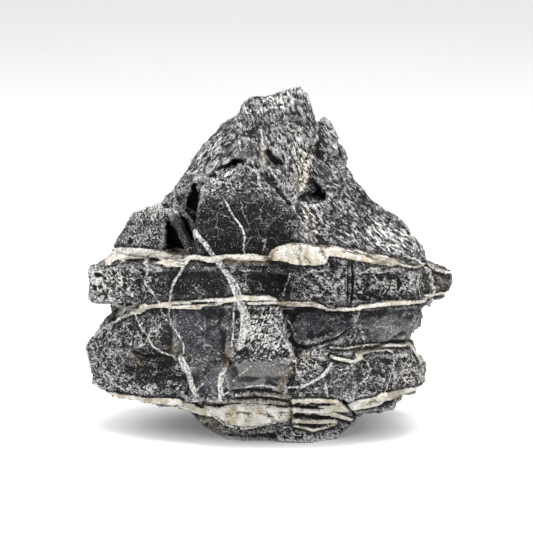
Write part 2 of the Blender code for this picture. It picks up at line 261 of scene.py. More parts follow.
def soft_lamp(name, place, aim, width, watts, colour):
    lamp = bpy.data.lights.new(name, "AREA")
    lamp.shape = "DISK"
    lamp.size = width
    lamp.energy = watts
    lamp.color = colour
    holder = bpy.data.objects.new(name, lamp)
    bpy.context.scene.collection.objects.link(holder)
    holder.location = place
    holder.rotation_mode = "QUATERNION"
    holder.rotation_quaternion = (Vector(aim) - Vector(place)).to_track_quat("-Z", "Y")


def white_room():
    world = bpy.data.worlds.new("white_room")
    world.use_nodes = True
    background = world.node_tree.nodes["Background"]
    background.inputs["Color"].default_value = (1, 1, 1, 1)
    background.inputs["Strength"].default_value = ROOM_BRIGHTNESS
    bpy.context.scene.world = world
    bpy.context.scene.view_settings.view_transform = "Standard"


paper_sweep()
white_room()
for name, settings in LAMPS.items():
    soft_lamp(name, *settings)
print("studio: paper sweep,", len(LAMPS), "soft lamps and a white world")

# %% [markdown]
# ## Where the calcite runs
#
# The white lines are calcite, which filled open beds and cracks while the rock was deep down. Each line is the
# edge of a sheet that runs on into the stone. So a line is drawn once, as the eye sees it from the front, and the
# sheet goes straight back from it: the same line then comes out at the back, as it does on a real stone.
# A point is three numbers, in pixels of the 533 pixel frame: across, down, and half the line's width.

# %% Beds, seen from the front
BEDS = {
    "upper bed, left": [
        (106, 257, 1.5), (112, 254, 4), (122, 253, 5.2), (140, 253, 5), (153, 254, 4), (171, 256, 3.4),
        (184, 258, 2.4), (199, 258, 2.4), (214, 259, 2.8), (226, 257, 2.2), (240, 256.5, 2.6), (252, 256.5, 3.2),
        (261, 259, 2.2),
    ],
    "upper bed, crown": [
        (318, 251, 3.6), (335, 253, 3.4), (351, 256.4, 3), (364, 258, 2.8), (374, 261, 2), (381, 260.5, 2.2),
        (391, 261, 2.6), (400, 264, 1.5), (414, 267, 1), (426, 265, 0.8), (444, 268.5, 1),
    ],
    "middle bed, left": [
        (110, 304, 0.8), (128, 308, 2.2), (134, 307.3, 2.6), (150, 306.6, 3), (170, 305.2, 2.6),
    ],
    "middle bed, upper strand": [
        (168, 304, 1.6), (178, 302.4, 1.3), (199, 301, 1.6), (212, 300, 1.8), (227, 301, 2.4),
        (241, 298.4, 2.6), (262, 298, 2.4), (276, 300, 1.8),
    ],
    "middle bed, lower strand": [(168, 307, 1.6), (178, 308, 1.1), (199, 305.4, 1.2), (220, 304.4, 1.6)],
    "middle bed, leaf": [(116, 316.5, 0.8), (129, 313.6, 0.9), (140, 310, 0.8)],
    "middle bed, right": [
        (279, 303.3, 1.6), (293, 304, 2.7), (313, 305.3, 2.7), (327, 308.7, 2.5), (351, 309.3, 1.8),
        (359, 309.5, 1.8), (361, 307.3, 2), (380, 304.7, 2.3), (400, 302.6, 2.2), (421, 302, 1.6),
    ],
    "lower bed, right": [(359, 346.4, 1), (374, 344.8, 1.2), (394, 344.8, 1.5), (416, 344.8, 1.5)],
    "lower bed, leaves": [(357, 354, 2.4), (367, 351.8, 1.4), (388, 349.2, 1.2), (394, 352.9, 0.8)],
    "lower bed, bar": [(331, 356.9, 1.8), (343, 359.6, 2.1), (354, 361, 2), (361, 357.5, 2.6)],
    "bottom bed, left": [
        (100, 391, 1.5), (122, 397, 2.6), (143, 399.6, 3), (164, 401, 3.4), (178, 403.4, 4.2), (192, 408, 4.2),
        (200, 411, 3.6),
    ],
    "bottom bed, right": [
        (350, 408, 3.5), (358, 405, 5), (370, 402, 6), (381, 399, 6.4), (389, 397, 4.6), (400, 392.6, 3.6),
        (410, 390, 2.6),
    ],
}
FRONT_ONLY_BEDS = {
    "calcite lump": [
        (272, 253.5, 2.8), (280, 254.5, 7), (292, 254.8, 9.6), (305, 255.2, 9.8), (315, 257, 9), (322, 259, 6),
    ],
    "calcite chip": [(236, 256, 2.2), (248, 257, 3.2), (257, 255.5, 2)],
    "calcite lens": [
        (205, 406, 1.5), (220, 412.5, 5.5), (230, 414.5, 10), (242, 415, 12), (256, 415, 11.6), (268, 413.6, 9.8),
        (280, 412.6, 8.2), (289, 411.5, 6.6),
    ],
    "foot leaf, upper": [(294, 401.5, 3.2), (318, 402, 3.8), (336, 402.5, 3), (343, 404, 1.5)],
    "foot leaf, second": [(295, 410.5, 2.6), (315, 411.6, 3), (335, 414.5, 3), (352, 420, 1.7)],
    "foot leaf, third": [(293, 421, 2), (316, 421.8, 2.3), (337, 421.4, 1.8)],
    "foot leaf, lowest": [(294, 426, 1.3), (313, 430.4, 1.6), (337, 424, 1.3)],
}
print(len(BEDS) + len(FRONT_ONLY_BEDS), "white beds and lenses")

# %% [markdown]
# ## Veins, cracks, stains and a painted shadow
#
# Veins are thinner sheets that cut across the beds. The broadest one here crosses the upper slab from the knob and
# ends in a white pillar. Cracks are drawn in the same way, but they will be cut in and not raised and given
# painted shade, and stains are iron-brown seams that only colour the rock. One line among the stains, under the
# calcite chip, is a painted shadow in the stains' colours.

# %% Veins, cracks, stains and a painted shadow, seen from the front
VEINS = {
    "great vein, top": [(174, 203, 1.2), (177, 207, 3.2), (183, 212, 3), (187, 218, 2.4), (194, 229, 1.9)],
    "great vein": [
        (187, 217, 2.2), (200, 238.5, 2.2), (207, 247, 2.2), (215, 257, 2.1), (223, 269, 2.1), (231, 284, 1.8),
        (236, 296, 2),
    ],
    "great vein, right strand": [(214, 256, 0.9), (226, 270, 0.9), (236, 284, 1), (241, 297, 1.2)],
    "white pillar": [
        (237, 298, 2.4), (241, 303, 3.2), (245, 313, 3.4), (246, 326, 3.6), (243, 339, 3.2), (239, 349, 2),
    ],
    "pillar thread": [(236, 303, 0.8), (234, 311, 0.8), (233.6, 333, 0.9), (231.5, 346, 1)],
    "pillar root": [(227, 364, 1.4), (222, 375, 2.2), (220.3, 386, 2.4), (220.3, 401, 2)],
    "left thread": [
        (192, 258, 1), (181, 268.7, 1.1), (174.7, 281.3, 1.2), (170.5, 295.3, 1.1), (169.8, 304, 1),
        (169, 313.6, 0.9), (171.2, 325, 0.8), (178, 333, 0.8), (184, 344, 0.9), (184.5, 354, 0.9),
    ],
    "left thread, twin": [(160, 303, 0.6), (161.4, 311, 0.6), (167, 320.6, 0.7), (170, 325, 0.6)],
    "lump root": [(181, 356, 1.6), (183, 361.5, 2.8), (188, 372.5, 3), (191, 384, 2.8), (195, 396, 1.8)],
    "lump spur": [(195, 391, 0.6), (204, 383, 0.7)],
    "thin thread": [(145, 259, 0.8), (147.3, 270, 0.8), (144.5, 284, 0.8), (151.6, 292.5, 0.8), (157, 302, 0.7)],
    "leaf rim": [
        (134, 313, 0.7), (136, 317, 0.8), (140.3, 327.6, 0.8), (148.8, 337.4, 0.9), (153, 347, 0.9),
        (164, 353, 0.9), (175.4, 357, 1),
    ],
    "leaf rib": [(148.8, 335.3, 0.6), (154.4, 326, 0.5)],
    "leaf rib, short": [(148.8, 336, 0.6), (163, 336.6, 0.5)],
    "buttress thread": [(224, 200.5, 0.8), (233, 216, 0.8), (241.5, 228, 0.9), (245, 238.4, 0.9), (244, 253, 0.8)],
    "buttress edge": [(267, 166, 0.9), (279.4, 183.3, 1.1), (288, 197, 1), (296.6, 211, 0.8)],
    "buttress edge, inner": [(252, 161, 0.7), (257, 173, 0.8), (260.5, 187, 0.7), (268, 196, 0.6)],
    "peak rib": [(260.5, 125, 0.8), (262.2, 140, 1.1), (262.2, 154, 1.2), (264, 163, 0.8)],
    "arc": [
        (286.8, 387.4, 0.8), (300.2, 386.6, 1.1), (312.2, 383.2, 1.3), (323, 375.7, 1.5), (328.3, 369, 1.3),
        (332.3, 362.3, 1.1),
    ],
    "star, up": [(326, 387, 0.6), (323, 376, 0.5)],
    "star, down": [(326, 387, 0.6), (328, 400, 0.8)],
    "star, left": [(326, 388, 0.6), (314, 393, 0.5)],
    "star, right": [(326, 387, 0.5), (337, 380, 0.5), (348, 378, 0.4)],
    "right arc": [(361, 357, 0.7), (367.2, 361, 0.8), (371.2, 369, 0.8), (367.2, 377, 0.8), (360.5, 384, 0.7)],
    "right arc, web": [(333, 371, 0.5), (343, 369, 0.6), (354, 363.6, 0.6), (363, 359.5, 0.5)],
    "right slab thread": [(394, 354, 0.6), (395, 362, 0.6), (390, 378, 0.6), (384, 392, 0.5)],
    "pillar rim": [(271.4, 322, 0.9), (280, 335.5, 1), (289, 348, 1.1), (292.2, 358, 1.1), (287, 364, 0.9)],
    "pillar rim, outer": [(288, 320, 0.5), (294, 329, 0.6), (297, 334, 0.5)],
    "recess thread": [(306.9, 337, 0.5), (314.9, 350, 0.6)],
    "recess thread, lower": [(312.2, 353, 0.6), (316.3, 362.3, 0.6), (313, 370, 0.5)],
    "curved rim": [(336, 337, 0.6), (343, 333.4, 0.7), (353.8, 323, 0.7), (359.8, 310, 0.8)],
    "wedge thread": [(358.5, 321, 0.5), (364, 341, 0.6)],
    "block thread": [(290.8, 272, 0.5), (286, 284, 0.5), (284, 296, 0.6)],
    "nub thread": [(419.5, 272, 0.6), (417.4, 285, 0.7), (421, 299, 0.5)],
    "right thread": [(373, 270, 0.6), (378, 282, 0.7), (374, 290, 0.5)],
    "plate wave": [
        (223, 396.4, 0.7), (234, 389.6, 0.8), (248.4, 385.3, 0.9), (262.4, 384.6, 0.9), (276, 387, 0.8),
    ],
    "plate wave, upper": [(252, 366, 0.5), (240, 374, 0.5), (232, 382, 0.4)],
    "foot edge": [
        (205, 408, 1), (224, 424, 1.2), (238, 428, 1), (252, 428, 0.9), (268, 424, 0.9), (289, 419, 0.9),
    ],
}
CRACKS = {
    "block joint": [(352.5, 262, 0.6), (353, 280, 1), (352.5, 292, 0.9), (351, 303, 0.6)],
    "block joint, second": [(348.5, 262, 0.4), (348.5, 280, 0.5), (347, 300, 0.4)],
    "curved crack": [
        (291, 338, 1.4), (297, 346, 2), (306, 347, 1.6), (318, 343.5, 1), (336, 338.5, 1), (346, 331, 0.8),
        (355, 322, 0.6),
    ],
    "lower joint": [(357, 348.5, 1), (372, 348, 1.2), (390, 342, 1.4), (412, 341.4, 1.4)],
    "hole in the upper slab": [(399, 279, 0.8), (400, 284, 1.8), (398.5, 289, 1.2)],
    "bed split": [(172, 305.3, 0.8), (188, 304.2, 1.1), (206, 302.6, 0.9)],
    "lump split": [(206, 254, 0.5), (213, 249, 0.5)],
    "left pit": [(96, 275, 2.2), (99, 275, 2)],
    "left pit, lower": [(94, 287, 2), (95, 289, 1.6)],
    "knob pit": [(129, 242, 1.6), (131, 240, 1)],
    "cave lip": [(133, 352, 1.4), (146, 357, 0.8), (163, 355, 0.8), (172, 358, 0.7)],
    "lens split": [(236, 398.6, 1), (256, 397.4, 1.2), (276, 399.6, 1.2), (289, 401.6, 1.4)],
    "foot split": [(290.5, 402, 0.7), (291.5, 412, 0.7), (291.5, 424, 0.6)],
    "foot split, upper leaf": [(301, 407.4, 1.3), (311, 408.2, 1.5), (323, 408.6, 0.8)],
    "foot split, second leaf": [(296, 415.6, 1.1), (314, 417, 1.5), (336, 419.4, 1.1), (350, 423.6, 0.6)],
    "foot split, third leaf": [(300, 425.4, 0.9), (318, 427, 1.1), (332, 424.6, 0.6)],
    "wedge split": [(343, 401, 1.2), (350, 410, 1.1), (358, 419, 0.9)],
    "plate split": [(225, 391.5, 0.6), (248, 389.5, 1.2), (268, 390.5, 1.4), (282, 394, 0.9)],
    "rust pit": [(269, 416, 1.4), (273, 415.4, 1)],
}
STAINS_AND_SHADOW = {
    "tan seam": [
        (286.3, 365.5, 1.8), (290.5, 374, 2), (282, 381, 2.6), (280.6, 389.3, 3), (287.7, 398, 2.6), (290, 410, 2),
        (292, 421.6, 2),
    ],
    "tan line": [(243, 397, 1.2), (261, 393.8, 1.8), (276.4, 395.2, 1.8), (288, 397, 2)],
    "brown nodules": [(231, 349, 2), (228.7, 352, 3), (226, 359, 3.4), (226, 366, 2.6)],
    # a painted shadow under the calcite chip, drawn in the stains' colours
    "chip shadow": [(221, 260, 1.6), (236, 261.5, 2), (250, 262.6, 1.6), (262, 262, 3), (267, 259, 3.4)],
    "lens rim": [(207, 404, 2), (228, 402, 1.6), (250, 401, 1.8), (270, 402, 1.8), (288, 405, 2)],
    "bed rust, right": [(374, 261, 2.4), (385, 261, 2.2), (400, 264, 1.8)],
    "bed rust, middle": [(279, 303, 2.4), (288, 303.6, 1.6)],
    "leaf rust": [(358, 352, 2.6), (368, 350.4, 2), (386, 347.6, 1.4)],
    "foot rust": [(392, 395, 4), (402, 392, 3.6)],
    "cave rust": [(130, 351, 1.5), (134, 357, 2), (140, 364, 1.5)],
    "leaf blush": [(168, 349, 2), (176, 351, 3), (180, 353, 2)],
    "peak rust": [(261, 146, 1.6), (263, 156, 2), (264, 163, 1.6)],
    "crumbs": [(207, 419, 3), (214, 424, 4), (222, 429, 3)],
}
print(len(VEINS), "veins,", len(CRACKS), "cracks and", len(STAINS_AND_SHADOW), "stains_and_shadow")

# %% [markdown]
# The lines above lie in sheets that run front to back, so on the two ends of the stone they show only as beds.
# The ends get veins and cracks of their own, in sheets that run from side to side. The eye at the front can't see
# them, so they are given in millimetres: away from the front, height, and half width.

# %% Veins and cracks of the two ends
END_STARTS = 48.0
LEFT_END_VEINS = [
    [(-38, 66, 0.5), (-26, 54, 0.7), (-14, 47, 0.6), (-4, 33, 0.8), (6, 24, 0.5)],
    [(8, 92, 0.5), (16, 78, 0.8), (21, 64, 0.6), (33, 52, 0.7), (38, 38, 0.4)],
    [(-14, 47, 0.4), (-24, 38, 0.4), (-31, 26, 0.3)],
    [(-16, 112, 0.4), (-6, 101, 0.6), (3, 92, 0.5)],
    [(21, 64, 0.4), (10, 55, 0.4), (2, 44, 0.3)],
]
RIGHT_END_VEINS = [
    [(-32, 96, 0.6), (-22, 80, 0.8), (-17, 64, 0.9), (-6, 50, 0.8), (2, 30, 0.6)],
    [(-17, 64, 0.5), (-28, 52, 0.5), (-33, 38, 0.4)],
    [(16, 104, 0.5), (11, 88, 0.6), (19, 72, 0.7), (15, 58, 0.5), (26, 40, 0.5)],
    [(19, 72, 0.4), (32, 66, 0.5), (40, 56, 0.4)],
]
END_CRACKS = [
    [(28, 87, 0.4), (30, 80, 0.6), (29, 72, 0.4)],
    [(-4, 45, 0.4), (-1, 36, 0.6), (-2, 26, 0.4)],
    [(12, 70, 0.3), (13, 60, 0.5), (16, 50, 0.4)],
]
print(len(LEFT_END_VEINS) + len(RIGHT_END_VEINS), "veins on the two ends")

# %% [markdown]
# ## Drawing on the stone
#
# A pixel becomes a place by sending a ray through it: where the ray meets the solid is where the line lies.
# Only the place across and the height are kept, because the sheet runs straight back from there.
# Rays could be sent for the given points alone. Here they also go through points between them, because the stone
# steps in and out under a line, and each step shifts its height a little.

# %% Rays from the camera
RAY_EVERY_PIXELS = 2.5
BED_RUN_ON = 14.0

solid_tree = BVHTree.FromPolygons(
    [v.co for v in solid.data.vertices], [tuple(p.vertices) for p in solid.data.polygons]
)


def on_stone(across, down):
    """Where the pixel's ray meets the solid, or None where it passes by."""
    ray = camera_right * (across - FRAME_PIXELS / 2) / focal_pixels
    ray += camera_up * (FRAME_PIXELS / 2 - down) / focal_pixels
    ray -= towards_camera
    return solid_tree.ray_cast(eye, ray.normalized())[0]


def traced(line):
    """The line as places across, heights and half widths, all in millimetres. A pixel off the stone is skipped."""
    places = []

    def note(across, down, half):
        hit = on_stone(across, down)
        if hit:
            places.append((hit.x / MM, hit.z / MM, half * DISTANCE / focal_pixels / MM))

    for (u0, v0, w0), (u1, v1, w1) in zip(line, line[1:]):
        steps = max(2, round(math.hypot(u1 - u0, v1 - v0) / RAY_EVERY_PIXELS))
        for t in np.linspace(0, 1, steps, endpoint=False):
            note(u0 + (u1 - u0) * t, v0 + (v1 - v0) * t, w0 + (w1 - w0) * t)
    note(*line[-1])
    return np.array(places)


def run_on(line):
    """A bed's line carried on level past both its ends, so that it goes round the stone's sides."""
    further = np.array([BED_RUN_ON, 0, 0])
    return np.array([line[0] - further, *line, line[-1] + further])


ROUND_THE_ENDS = (
    "upper bed, left", "middle bed, left", "bottom bed, left",
    "upper bed, crown", "middle bed, right", "lower bed, right", "bottom bed, right",
)
through_beds = [
    run_on(traced(line)) if name in ROUND_THE_ENDS else traced(line) for name, line in BEDS.items()
]
front_beds = [traced(line) for line in FRONT_ONLY_BEDS.values()]
veins = [traced(line) for line in VEINS.values()]
cracks = [traced(line) for line in CRACKS.values()]
stains_and_shadow = [traced(line) for line in STAINS_AND_SHADOW.values()]
print("traced", sum(map(len, through_beds + front_beds + veins + cracks + stains_and_shadow)), "points")

# %% [markdown]
# ## A skin that is fine enough
#
# The solid has about ten thousand flat faces, each several millimetres across. Broken limestone has relief down to
# a grain, so the surface needs points about every millimetre. Subdividing would keep the solid's long thin
# triangles. A voxel remesh gives even ones instead, and a short smoothing rounds what it leaves of the steps.
# A remesh can also leave a closed bubble inside, one voxel big, so only the largest connected part is kept.

# %% Fine even skin
SKIN_VOXEL = 0.75 * MM
SKIN_SMOOTHING = 2


def baked(thing):
    """The object's mesh as its modifiers leave it, put in place of the one it had."""
    graph = bpy.context.evaluated_depsgraph_get()
    mesh = bpy.data.meshes.new_from_object(thing.evaluated_get(graph))
    thing.modifiers.clear()
    thing.data = mesh


def connected_parts(grid):
    """Lists of points that hang together, one list for each part."""
    left = set(grid.verts)
    while left:
        part = [left.pop()]
        for point in part:
            for edge in point.link_edges:
                other = edge.other_vert(point)
                if other in left:
                    left.remove(other)
                    part.append(other)
        yield part


def without_bubbles(mesh):
    grid = bmesh.new()
    grid.from_mesh(mesh)
    bubbles = sorted(connected_parts(grid), key=len)[:-1]
    for bubble in bubbles:
        bmesh.ops.delete(grid, geom=bubble, context="VERTS")
    grid.to_mesh(mesh)
    grid.free()
    print("bubbles taken out:", len(bubbles))


def fine_skin():
    skin = bpy.data.objects.new("seiryu_stone_surface", solid.data.copy())
    bpy.context.scene.collection.objects.link(skin)
    skin.data.materials.clear()
    remesh = skin.modifiers.new("even skin", "REMESH")
    remesh.mode = "VOXEL"
    remesh.voxel_size = SKIN_VOXEL
    smooth = skin.modifiers.new("rounded steps", "SMOOTH")
    smooth.iterations = SKIN_SMOOTHING
    baked(skin)
    without_bubbles(skin.data)
    return skin


stone = fine_skin()
print("skin:", len(stone.data.vertices), "points")

# %% [markdown]
# ## Random numbers that hold still
#
# Rock needs many small accidents, and they have to fall in the same places each time. So the numbers come from the
# place itself: a hash turns the corners of a grid into fixed values. Broken rock is planes with sharp edges
# between them, which smooth noise can't give. Here each cell of a jittered grid is one tilted plane instead.

# %% Noise of two kinds
# any uneven numbers would do here, as long as they stay the same
HASH_MIX, HASH_SEED = np.array([127.1, 311.7, 74.7]), 19.19
HASH_CHANNELS, HASH_STRETCH = np.array([0, 5.3, 10.6]), 43758.5453
CELL_MARGIN, CELL_JITTER, PLANE_TILT = 0.15, 0.7, 1.4
EIGHT_CORNERS = [(i, j, k) for i in (0, 1) for j in (0, 1) for k in (0, 1)]


def hashed(cells, seed):
    """Three repeatable numbers from 0 to 1 for each whole-number cell."""
    mixed = cells @ HASH_MIX + seed * HASH_SEED
    return np.abs(np.modf(np.sin(mixed[:, None] + HASH_CHANNELS) * HASH_STRETCH)[0])


def soft_noise(places, size, seed):
    """Smooth noise from -1 to 1, in three channels."""
    scaled = places / size
    base = np.floor(scaled)
    blend = scaled - base
    blend = blend * blend * (3 - 2 * blend)
    total = np.zeros((len(places), 3))
    for corner in EIGHT_CORNERS:
        weight = np.prod(np.where(corner, blend, 1 - blend), axis=1)
        total += weight[:, None] * hashed(base + corner, seed)
    return total * 2 - 1


def chipped(places, size, seed):
    """Broken relief from -1 to 1: the nearest of eight jittered cells gives its own tilted plane."""
    scaled = places / size
    base = np.floor(scaled - 0.5)
    nearest = np.full(len(places), np.inf)
    relief = np.zeros(len(places))
    for corner in EIGHT_CORNERS:
        cell = base + corner
        offset = scaled - (cell + CELL_MARGIN + CELL_JITTER * hashed(cell, seed))
        distance = (offset**2).sum(axis=1)
        height = (offset * (hashed(cell, seed + 1) * 2 - 1)).sum(axis=1)
        closer = distance < nearest
        nearest[closer] = distance[closer]
        relief[closer] = height[closer]
    return np.clip(relief * PLANE_TILT, -1, 1)


print("noise at the top:", np.round(soft_noise(np.array([[10.0, 0.0, 165.0]]), 12.0, 1), 2))

# %% [markdown]
# ## How deep inside a line
#
# The relief and the colours both ask the same question of a point on the surface: how far inside a white line is
# it, or how far outside? One number answers it, in millimetres: half the line's width less the distance to it.
# It is above zero inside. A painted mask would be sharp at one size only, but this number stays sharp, because
# the material cuts it off late and can add its own ragged edge.

# %% Depth inside lines
FAR_OUTSIDE = -6.0


def inside(lines, across, height):
    """Millimetres inside the nearest line: above zero inside, and down to FAR_OUTSIDE outside."""
    best = np.full(len(across), FAR_OUTSIDE)
    for line in lines:
        for (x0, z0, w0), (x1, z1, w1) in zip(line, line[1:]):
            reach = max(w0, w1) - FAR_OUTSIDE
            near = (across > min(x0, x1) - reach) & (across < max(x0, x1) + reach)
            near &= (height > min(z0, z1) - reach) & (height < max(z0, z1) + reach)
            if not near.any():
                continue
            px, pz = across[near] - x0, height[near] - z0
            dx, dz = x1 - x0, z1 - z0
            along = np.clip((px * dx + pz * dz) / max(dx * dx + dz * dz, 1e-9), 0, 1)
            gap = np.hypot(px - along * dx, pz - along * dz)
            best[near] = np.maximum(best[near], w0 + (w1 - w0) * along - gap)
    return best


# %% [markdown]
# ## Faces of different character
#
# No two faces of the stone broke alike. Some are smooth and nearly black, some are crazed all over with pale
# grain, and some are worn to a lighter grey. Each such patch is an oval, again placed as the eye sees it, with
# what it does to the rock: how much lighter, how much more grain, how much rougher and how much warmer in colour
# than the rest. Where a patch lies in a recess, a cave or under an overhang, its darkening is painted shade.

# %% Patches
# across, down, half width, half height, turn in degrees, lighter, grainier, rougher, warmer
PATCHES = {
    "hill": (290, 165, 100, 72, 0, 0.7, -0.15, 0.0, 0.0),
    "crest strip": (270, 103, 34, 8, -22, 0.7, 0.6, 0.0, 0.1),
    "peak face": (287, 138, 26, 40, 0, 0.5, 0.05, 0.2, 0.1),
    "peak foot": (303, 172, 10, 26, 10, 0.4, 0.8, 0.3, 0.7),
    "left shoulder": (212, 158, 26, 30, 30, 0.1, 0.25, 0.1, 0.0),
    # painted shade under the shoulder's overhang
    "under the shoulder, painted shade": (236, 154, 22, 8, -14, -0.3, -0.4, -0.2, 0.0),
    "buttress top": (236, 182, 36, 15, 0, -0.1, 0.25, 0.4, 0.0),
    # partly a smooth near-black face, partly painted shade on the overhanging buttress foot
    "buttress foot, smooth and in painted shade": (238, 229, 52, 29, 0, -2.8, -1.65, -0.3, 0.0),
    "buttress right": (280, 220, 18, 28, -20, -1.0, -0.1, 0.3, 0.0),
    "under the cave": (312, 226, 12, 26, -15, 0.1, 0.6, 0.3, 0.6),
    "flank": (350, 206, 44, 32, 40, -0.9, 0.0, 0.1, 0.0),
    "flank foot": (388, 238, 34, 15, 25, 0.6, 0.6, 0.2, 0.2),
    "knob": (142, 226, 24, 20, 0, 1.9, 0.1, -0.4, 0.0),
    "knob crown": (160, 206, 28, 6, 0, 0.4, 0.5, 0.2, 0.0),
    # painted shade in the recess left of the buttress
    "recess in painted shade": (184, 234, 16, 24, 0, -1.8, -1.2, -0.2, 0.2),
    "upper slab end": (108, 280, 24, 20, 0, 0.8, 0.8, 0.6, 0.3),
    "upper slab, middle": (196, 281, 32, 20, 0, -0.7, -1.0, -0.4, 0.0),
    "upper slab, grain": (244, 282, 10, 16, 0, 0.0, 0.2, 0.2, 0.1),
    # partly dark rock, partly painted shade in the shallow hollow
    "upper slab, dark hollow in painted shade": (274, 281, 26, 20, 0, -1.5, -1.1, 0.0, 0.0),
    "upper slab, block": (326, 282, 22, 22, 0, 0.0, 0.12, 0.2, 0.0),
    "upper slab, right": (386, 281, 36, 18, 0, 1.1, 0.3, 0.1, 0.3),
    "nub": (438, 282, 16, 22, 0, 0.0, -0.4, 0.5, 1.1),
    "dark face": (202, 332, 36, 27, 0, 0.2, -0.9, -0.6, 0.0),
    "crazed pillar": (264, 330, 26, 30, 0, 0.2, 0.65, 0.4, 0.2),
    "smooth recess": (316, 326, 34, 19, 0, 0.1, -1.1, -0.7, 0.3),
    "grey block": (392, 326, 36, 18, 0, 0.9, -0.75, -0.4, 0.4),
    "lump": (108, 345, 24, 30, 0, 0.3, 0.0, 0.4, 0.0),
    # painted shade in the cave under the lump
    "lump cave in painted shade": (151, 366, 24, 17, 0, -2.2, -1.3, 0.0, 0.5),
    "lump leaf": (164, 346, 18, 10, 20, 0.5, -0.3, -0.3, 1.0),
    "lump foot": (120, 385, 34, 12, 10, 0.2, 0.5, 0.4, 0.2),
    "slab behind the root": (206, 376, 18, 18, 0, 0.3, -0.7, -0.5, 0.1),
    "grey plate": (252, 374, 34, 12, -6, 2.3, -1.3, -0.8, 0.4),
    "brown crazing": (302, 362, 16, 15, 0, 0.0, 0.5, 0.3, 0.6),
    "blue face": (336, 380, 28, 18, 0, 0.6, -0.2, -0.6, 0.0),
    "lower slab, right": (382, 370, 16, 20, 0, 0.0, -0.2, 0.2, 0.2),
    "lower slab, end": (413, 371, 18, 22, 0, 1.4, 0.3, 0.1, 0.5),
    "foot plate": (256, 432, 36, 8, 0, 0.2, -0.5, 0.0, 0.6),
}
PATCH_DEPTH = 25.0


def pixels_of(places):
    """Where the camera sees each place, in pixels."""
    seen = places * MM - np.array(eye)
    depth = -(seen @ np.array(towards_camera))
    across = FRAME_PIXELS / 2 + focal_pixels * (seen @ np.array(camera_right)) / depth
    down = FRAME_PIXELS / 2 - focal_pixels * (seen @ np.array(camera_up)) / depth
    return across, down


def character(places):
    """Lighter, grainier, rougher and warmer for each place. The patches fade out at the back."""
    across, down = pixels_of(places)
    front = np.clip((PATCH_DEPTH - places[:, 1]) / PATCH_DEPTH, 0, 1)
    total = np.zeros((len(places), 4))
    for u, v, wide, high, turn, *effect in PATCHES.values():
        c, s = math.cos(math.radians(turn)), math.sin(math.radians(turn))
        du, dv = across - u, down - v
        oval = ((c * du + s * dv) / wide) ** 2 + ((c * dv - s * du) / high) ** 2
        total += (front * np.exp(-(oval**2)))[:, None] * np.array(effect)
    return total


print(len(PATCHES), "patches")

# %% [markdown]
# ## The way the rock streaks
#
# Rain and roots etched the hill along its slopes, so its streaks lean with each face: down to the left on the left
# shoulder, steeply down to the right on the front, and down at half a right angle on the right flank.
# Each slab, and the buttress below the peak, has a grain of its own, which is shorter.
# A coordinate that is pressed together along the streaks draws out anything that is laid out in it. Depth is
# pressed together as well, because the faces lean back as they rise. The coordinate is stored on the surface, so
# that relief and colour agree.

# %% Streak coordinates
SHOULDER_FOOT, HILL_FOOT, UPPER_SLAB_FOOT, MIDDLE_SLAB_FOOT = 128, 89, 71, 46
RIDGE_HEIGHTS, RIDGE_ACROSS = (90, 162), (4, -14)
SHOULDER_FROM_RIDGE = 6
FLANK_HEIGHTS, FLANK_ACROSS = (90, 112, 150), (30, 12, 22)
LEFT_LEAN, FRONT_LEAN, RIGHT_LEAN = math.radians(-38), math.radians(22), math.radians(44)
UPPER_SLAB_LEAN, MIDDLE_SLAB_LEAN, LOWER_SLAB_LEAN = math.radians(62), math.radians(-48), math.radians(70)
HILL_LENGTHENED, BUTTRESS_LENGTHENED, SLAB_LENGTHENED = 0.26, 0.85, 0.6
BUTTRESS_LEFT, BUTTRESS_RIGHT, BUTTRESS_TOP = -75, 14, 128


def streak_places(places):
    """Each place as across, depth and, pressed together, along the streaks of its face."""
    x, y, z = places.T
    ridge = np.interp(z, RIDGE_HEIGHTS, RIDGE_ACROSS)
    flank = np.interp(z, FLANK_HEIGHTS, FLANK_ACROSS)
    lean = np.where(x > flank, RIGHT_LEAN, np.where(x < ridge - SHOULDER_FROM_RIDGE, LEFT_LEAN, FRONT_LEAN))
    lean = np.where((x < ridge) & (z < SHOULDER_FOOT), FRONT_LEAN, lean)
    lean = np.where(z < HILL_FOOT, UPPER_SLAB_LEAN, lean)
    lean = np.where(z < UPPER_SLAB_FOOT, MIDDLE_SLAB_LEAN, lean)
    lean = np.where(z < MIDDLE_SLAB_FOOT, LOWER_SLAB_LEAN, lean)
    across = x * np.cos(lean) + z * np.sin(lean)
    along = z * np.cos(lean) - x * np.sin(lean)
    buttress = (x > BUTTRESS_LEFT) & (x < BUTTRESS_RIGHT) & (z < BUTTRESS_TOP) & (y < 0)
    lengthened = np.where(buttress, BUTTRESS_LENGTHENED, HILL_LENGTHENED)
    lengthened = np.where(z < HILL_FOOT, SLAB_LENGTHENED, lengthened)
    return np.stack([across, y * lengthened, along * lengthened], axis=1)


# %% [markdown]
# ## Breaking the surface
#
# Relief is added in layers, from large to small, and each has its own cause: hand-sized breaks are already in the
# solid, then come flakes, chips and grains, then the etched streaks, the standing calcite and the open cracks.
# Calcite stands proud because it is harder to dissolve than the clay-rich rock beside it, and that rock is etched
# into a groove along each bed. Each layer is only a height along the surface's own direction, so all of them can
# be added up and applied in one move. The lowest two millimetres stay calm, so that the stone still stands.

# %% Relief
# size, height and seed of each layer of broken relief
FLAKES, CHIPS, GRAINS, STREAKS = (9.0, 0.5, 2), (4.4, 0.26, 4), (2.0, 0.14, 6), (2.0, 0.36, 9)
BED_LUMPS, BED_GRAINS, DEEP_BED_LUMPS = (5.0, 0.8, 14), (2.2, 0.25, 15), (8.5, 0.9, 16)
PITS = (6.0, 1.3, 12)
